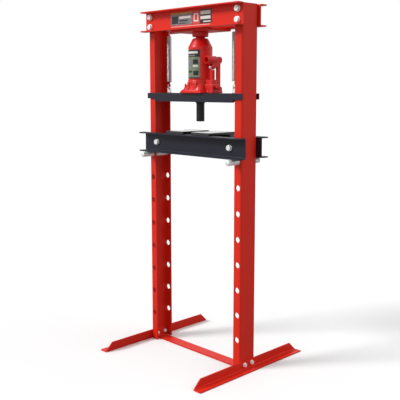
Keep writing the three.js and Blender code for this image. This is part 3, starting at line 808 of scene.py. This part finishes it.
def make_jack_core():
    low, high = box("jack_cylinder")
    outer, inner = CYLINDER["outer"], CYLINDER["inner"]
    piece("jack_cylinder", lambda bm: add_turned(
        bm, [(outer, low.z), (outer, high.z), (inner, high.z), (inner, low.z)], sides=96),
        STEEL, smooth_angle=30)

    low, high = box("tank_nut")
    outer = 18
    nut = [(outer, low.z), (outer, high.z - 1), (outer - 1, high.z), (inner + 0.8, high.z),
           (inner, high.z - 0.8), (inner, low.z)]
    piece("tank_nut", lambda bm: add_turned(bm, nut, sides=96), JACK_RED, smooth_angle=30)

    low, high = box("jack_ram")
    radius, bore, bore_bottom = 14.5, 8.3, 1124
    ram = [(0, low.z), (radius - 1, low.z), (radius, low.z + 1), (radius, high.z - 0.8),
           (radius - 0.8, high.z), (bore + 0.5, high.z), (bore, high.z - 0.5), (bore, bore_bottom),
           (0, bore_bottom)]
    piece("jack_ram", lambda bm: add_turned(bm, ram, sides=96), STEEL, smooth_angle=30)

    low, high = box("ram_saddle")
    under = RAM_TOP + GAP
    rim, neck, stem = 29.5, 17, 8
    screw = [(0, low.z), (stem - 1, low.z)]
    z = low.z + 1
    while z < under - 3:
        screw += [(stem, z), (stem - 1.1, z + 1)]
        z += 2
    saddle = screw + [(stem, under), (neck, under), (neck + 2.5, under + 0.6), (rim - 1.5, under + 1.4),
                      (rim, under + 2.9), (rim, high.z - 1.5), (rim - 1.5, high.z), (rim - 6, high.z),
                      (rim - 6.8, high.z - 0.8), (0, high.z - 0.8)]

    def scallops(bm):
        for k in range(12):
            t = math.radians(15 + 30 * k)
            middle = ((rim + 2.2) * math.cos(t), (rim + 2.2) * math.sin(t))
            add_rod(bm, "z", 4, under - 2, high.z + 2, middle, sides=24)

    piece("ram_saddle", lambda bm: add_turned(bm, saddle, sides=96), JACK_RED, scallops,
          smooth_angle=35)


def make_pump_parts():
    low, high = box("pump_plunger")
    rod, shaft_top = 4.6, 1073
    slot = {"front": -10.4, "back": 3.6, "z": PLUNGER_PIN["z"], "half": 3.6}
    obj = make("pump_plunger_visual", lambda bm: add_turned(
        bm, [(0, low.z), (rod - 1, low.z), (rod, low.z + 1), (rod, shaft_top + 2), (0, shaft_top + 2)],
        "z", (PUMP_X, 0), 40))

    def eye(bm):
        outline = [(low.y, shaft_top + 3), (low.y + 3, shaft_top), (high.y - 2, shaft_top),
                   (high.y, shaft_top + 2)]
        outline += arc((high.y - 3, high.z - 3), 3, 0, 90, 6) + arc((low.y + 4, high.z - 4), 4, 90, 180, 6)
        add_prism(bm, outline, "x", PUMP_X - rod, PUMP_X + rod)

    combine(obj, make("eye", eye), "UNION")
    half = slot["half"]
    run = arc((slot["back"] - half, slot["z"]), half, -90, 90, 10)
    run += arc((slot["front"] + half, slot["z"]), half, 90, 270, 10)
    combine(obj, make("cutter", lambda bm: add_prism(bm, run, "x", PUMP_X - 20, PUMP_X + 20)), "DIFFERENCE")
    soften(obj, 0.3)
    finish_piece(obj, "pump_plunger", [STEEL], ["pump_plunger"], 40)

    def strap(bm):
        y, radius = LINK["y"], LINK["radius"]
        waist = radius - 1
        outline = arc((y, LINK["upper_z"]), radius, -20, 200, 16)
        outline += [(y - waist, LINK["upper_z"] - 14), (y - waist, LINK["lower_z"] + 14)]
        outline += arc((y, LINK["lower_z"]), radius, 160, 380, 16)
        outline += [(y + waist, LINK["lower_z"] + 14), (y + waist, LINK["upper_z"] - 14)]
        add_prism(bm, outline, "x", PUMP_X - LINK["half_x"], PUMP_X + LINK["half_x"])

    obj = make("pump_link_visual", strap)

    def pins(bm):
        for z in (LINK["lower_z"], LINK["upper_z"]):
            add_rod(bm, "x", LINK["pin"], PUMP_X - 10.5, PUMP_X + 10.5, (LINK["y"], z), 0.6, 32)

    combine(obj, make("pins", pins), "UNION")
    soften(obj, 0.35)
    finish_piece(obj, "crossbeam", [JACK_RED], ["pump_link"], 40)


SOCKET = {"z": 1106, "outer": 14, "inner": 10.5, "back": 16, "floor": 8}
CHEEK = {"inner": 5, "outer": 9, "front": -9, "back": 42, "top": 1118}


def make_handle_socket():
    low, _ = box("handle_socket")
    z, outer, inner = SOCKET["z"], SOCKET["outer"], SOCKET["inner"]
    front, back = low.y, SOCKET["back"]
    tube = [(0, back), (outer - 1.5, back), (outer, back - 1.5), (outer, front + 3),
            (outer - 0.6, front + 2.2), (outer - 0.6, front + 0.8), (outer - 1.4, front),
            (inner + 0.8, front), (inner, front + 0.8), (inner, back - SOCKET["floor"]),
            (0, back - SOCKET["floor"] + 2)]
    obj = make("handle_socket_visual", lambda bm: add_turned(bm, tube, "y", (PUMP_X, z), 64))

    def cheeks(bm):
        eye, tail = 7.5, 12
        pin_y, pin_z = 0, 1080.5
        tail_y, tail_z = CHEEK["back"] - tail, CHEEK["top"] - tail
        outline = [(CHEEK["front"] + 1.5, CHEEK["top"] - 4)] + arc((pin_y, pin_z), eye, 180, 300, 12)
        outline += arc((tail_y, tail_z), tail, -60, 90, 14)
        for side in (-1, 1):
            x = sorted((PUMP_X + side * CHEEK["inner"], PUMP_X + side * CHEEK["outer"]))
            add_prism(bm, outline, "x", *x)

    combine(obj, make("cheeks", cheeks), "UNION")
    pin_place = (0, PLUNGER_PIN["z"])
    pin = make("pin", lambda bm: add_rod(
        bm, "x", PLUNGER_PIN["radius"], PUMP_X - 9.8, PUMP_X + 9.8, pin_place, 0.6, 32))
    combine(obj, pin, "UNION")

    def bores(bm):
        add_rod(bm, "y", inner, front - 1, back - SOCKET["floor"] - 1, (PUMP_X, z), sides=64)
        add_rod(bm, "x", LINK["hole"], PUMP_X - 15, PUMP_X + 15, (LINK["y"], LINK["upper_z"]), sides=32)

    combine(obj, make("cutter", bores), "DIFFERENCE")
    soften(obj, 0.4)
    finish_piece(obj, "handle_socket", [JACK_RED], ["handle_socket"], 40)


def make_release_valve():
    low, high = box("release_valve")
    z, stem, start = VALVE["z"], VALVE["stem"], VALVE["knob_start"]
    knob = high.z - z
    profile = [(0, low.x), (stem - 0.6, low.x), (stem, low.x + 0.6), (stem, start), (knob - 0.6, start),
               (knob, start + 0.6), (knob, high.x - 1), (knob - 1, high.x), (0, high.x)]

    def cuts(bm):
        add_block(bm, (high.x - 5, -2, z - 10), (high.x + 1, 2, z + 10))

    piece("release_valve", lambda bm: add_turned(bm, profile, "x", (0, z), 48), CAST_RED, cuts,
          edge=0.25, smooth_angle=40)


# ---- labels -----------------------------------------------------------------------------
LABEL_THICK = 0.12
LABEL_GAP = 0.02      # how far the lowest layer stands off the surface


def ink_paint(name, dark, light, roughness=(0.32, 0.44), patch=60):
    return surface(f"print_{name}", dark, light, roughness, patch=patch, bump=0.02)


PRINT = {
    "white": ink_paint("white", (0.70, 0.70, 0.68), (0.78, 0.78, 0.76), (0.35, 0.45), 40),
    "black": ink_paint("black", (0.010, 0.010, 0.012), (0.018, 0.018, 0.020), (0.30, 0.42), 40),
    "grey": ink_paint("grey", (0.16, 0.17, 0.18), (0.24, 0.25, 0.26)),
    "olive": ink_paint("olive", (0.36, 0.24, 0.04), (0.46, 0.32, 0.06)),
    "rose": ink_paint("rose", (0.50, 0.05, 0.05), (0.62, 0.10, 0.09), patch=80),
    "green": ink_paint("green", (0.14, 0.19, 0.10), (0.24, 0.28, 0.18), patch=90),
}
INKS = list(PRINT)


def add_patch(bm, place, u, v, layer, ink, steps):
    """One flat area of print: a thin slab over u and v, where place(u, v, height) is a point in space."""
    bottom, top = LABEL_GAP + layer * LABEL_THICK, LABEL_GAP + (layer + 1) * LABEL_THICK
    rings = []
    for i in range(steps + 1):
        at_u = u[0] + (u[1] - u[0]) * i / steps
        rings.append([place(at_u, v[0], bottom), place(at_u, v[1], bottom), place(at_u, v[1], top),
                      place(at_u, v[0], top)])
    before = len(bm.faces)
    loops = add_rings(bm, rings)
    bm.faces.new(loops[0])
    bm.faces.new(loops[-1])
    bm.faces.ensure_lookup_table()
    for face in bm.faces[before:]:
        face.material_index = INKS.index(ink)


def make_label(name, body, place, patches, steps):
    def fill(bm):
        for u, v, layer, ink in patches:
            add_patch(bm, place, u, v, layer, ink, steps)

    finish_piece(make(name, fill), body, list(PRINT.values()), smooth_angle=30)


def make_beam_label():
    """A strip of plain blocks on the front beam's web."""
    web_face = box("front_top_beam")[1].y - WALL
    patches = [
        ((-109, 3), (1270, 1277), 0, "olive"), ((-109, 3), (1232, 1270), 0, "grey"),
        ((6, 41), (1232, 1277), 0, "rose"), ((44, 102), (1231, 1280), 0, "black"),
        ((-109, 93), (1226.6, 1228.4), 0, "white"),
        ((46, 96), (1263, 1275), 1, "white"), ((46, 96), (1246, 1257), 1, "white"),
        ((60, 96), (1235.5, 1240), 1, "white"),
        ((-104, -70), (1238, 1264), 1, "black"), ((-64, -4), (1255, 1263), 1, "white"),
        ((-64, -20), (1245, 1250), 1, "black"), ((-64, -30), (1237, 1240), 1, "black"),
        ((12, 35), (1240, 1269), 1, "white"), ((16, 31), (1245, 1264), 2, "rose"),
    ]
    make_label("beam_label", "frame", lambda u, v, h: (u, web_face - h, v), patches, 1)


def make_tank_label():
    """A panel of plain blocks wrapped round the front of the tank. u is in degrees from the front."""
    def place(u, v, h):
        t = math.radians(u - 90)
        return ((TANK_RADIUS + h) * math.cos(t), (TANK_RADIUS + h) * math.sin(t), v)

    half = 43.5
    patches = [
        ((-half, half), (1040, 1117), 0, "green"), ((-half, half), (1117, 1143), 0, "black"),
        ((-36, 33), (1129, 1137), 1, "white"), ((-36, 20), (1120, 1124), 1, "grey"),
        ((-30, 2), (1082, 1108), 1, "grey"), ((8, 34), (1092, 1108), 1, "black"),
        ((8, 34), (1082, 1088), 1, "white"), ((-34, 34), (1074, 1077), 1, "grey"),
        ((-34, 4), (1062, 1068), 1, "black"), ((10, 36), (1052, 1068), 1, "black"),
        ((-34, 4), (1052, 1056), 1, "grey"), ((-half, half), (1040, 1045), 1, "black"),
    ]
    make_label("tank_label", "crossbeam", place, patches, 20)


# ---- stage ----------------------------------------------------------------------------------
def floor_paint():
    """Pale paint that throws back less light than it shows, so that undersides stay as deep as in a studio
    where the floor round the object is masked."""
    material = surface("floor_paint", (0.88, 0.88, 0.88), (0.90, 0.90, 0.90), (0.7, 0.9), patch=0.4, bump=0.0)
    nodes, links = material.node_tree.nodes, material.node_tree.links
    masked = nodes.new("ShaderNodeBsdfDiffuse")
    masked.inputs["Color"].default_value = (0.30, 0.30, 0.30, 1)
    ray = nodes.new("ShaderNodeLightPath")
    mix = nodes.new("ShaderNodeMixShader")
    links.new(ray.outputs["Is Camera Ray"], mix.inputs["Fac"])
    links.new(masked.outputs["BSDF"], mix.inputs[1])
    links.new(nodes["Principled BSDF"].outputs["BSDF"], mix.inputs[2])
    links.new(mix.outputs["Shader"], nodes["Material Output"].inputs["Surface"])
    return material


STUDIO_LIGHT = 0.6        # strength of the white surroundings as soft light on the press
REFLECTED_LIGHT = 0.82    # their strength where a glossy surface mirrors them
# name, direction the light comes from, strength, and the width of the sun's disc in degrees
LAMPS = (("key", (-0.42, -0.72, 0.62), 2.4, 18), ("fill", (0.6, 0.5, 0.7), 0.5, 60))
# angles in degrees, place in metres
CAMERA = {"yaw": 45.582, "pitch": -8.379, "roll": -0.03, "lens": 63.306, "shift_y": -0.024,
          "place": (1.8583, -1.8234, 1.0109)}


def make_stage():
    floor = make("floor", lambda bm: add_block(bm, (-40000, -40000, -20), (40000, 40000, -0.3)))
    floor.data.materials.append(floor_paint())

    world = bpy.data.worlds.new("studio")
    bpy.context.scene.world = world
    world.use_nodes = True
    nodes, links = world.node_tree.nodes, world.node_tree.links
    background = nodes["Background"]
    background.inputs["Color"].default_value = (1, 1, 1, 1)
    ray = nodes.new("ShaderNodeLightPath")
    mirrored = nodes.new("ShaderNodeMath")
    mirrored.operation = "MULTIPLY_ADD"
    mirrored.inputs[1].default_value = REFLECTED_LIGHT - STUDIO_LIGHT
    mirrored.inputs[2].default_value = STUDIO_LIGHT
    links.new(ray.outputs["Is Glossy Ray"], mirrored.inputs[0])
    strength = nodes.new("ShaderNodeMath")
    strength.operation = "MAXIMUM"
    links.new(ray.outputs["Is Camera Ray"], strength.inputs[0])
    links.new(mirrored.outputs["Value"], strength.inputs[1])
    links.new(strength.outputs["Value"], background.inputs["Strength"])

    for name, towards, power, angle in LAMPS:
        light = bpy.data.lights.new(name, "SUN")
        light.energy = power
        light.angle = math.radians(angle)
        lamp = bpy.data.objects.new(name, light)
        lamp.rotation_euler = Vector(towards).to_track_quat("Z", "Y").to_euler()
        bpy.context.scene.collection.objects.link(lamp)


def make_camera():
    """The view from the front right, a little above the middle, with the picture shifted slightly."""
    yaw, pitch, roll = (math.radians(CAMERA[k]) for k in ("yaw", "pitch", "roll"))
    data = bpy.data.cameras.new("camera")
    data.lens = CAMERA["lens"]
    data.shift_y = CAMERA["shift_y"]
    camera = bpy.data.objects.new("camera", data)
    turn = Matrix.Rotation(yaw, 4, "Z") @ Matrix.Rotation(math.pi / 2 + pitch, 4, "X")
    turn = turn @ Matrix.Rotation(roll, 4, "Z")
    camera.matrix_world = Matrix.Translation(CAMERA["place"]) @ turn
    bpy.context.scene.collection.objects.link(camera)
    bpy.context.scene.camera = camera


# ---- assembly ---------------------------------------------------------------------------------
for side_name, side_sign in SIDES:
    make_post(side_name, side_sign)
    make_foot(side_name, side_sign)
for end_name, _ in ENDS:
    beam_bolts = [f"{side}_{end_name}_{row}_bolt" for side, _ in SIDES for row in ("lower", "upper")]
    tie_bolts = [f"{side}_bed_tie_bolt" for side, _ in SIDES]
    make_channel(f"{end_name}_top_beam", beam_bolts, RED)
    make_channel(f"{end_name}_bed_channel", tie_bolts, BLACK)
make_head_plate()
make_base_bar()
make_fasteners()
make_bed_fittings()
make_arbor_plates()
make_crossbeam()
make_press_ram()
make_springs()
make_jack_base()
make_jack_tank()
make_jack_core()
make_pump_parts()
make_handle_socket()
make_release_valve()
make_beam_label()
make_tank_label()
make_stage()
make_camera()
bpy.context.scene.view_settings.view_transform = "Standard"
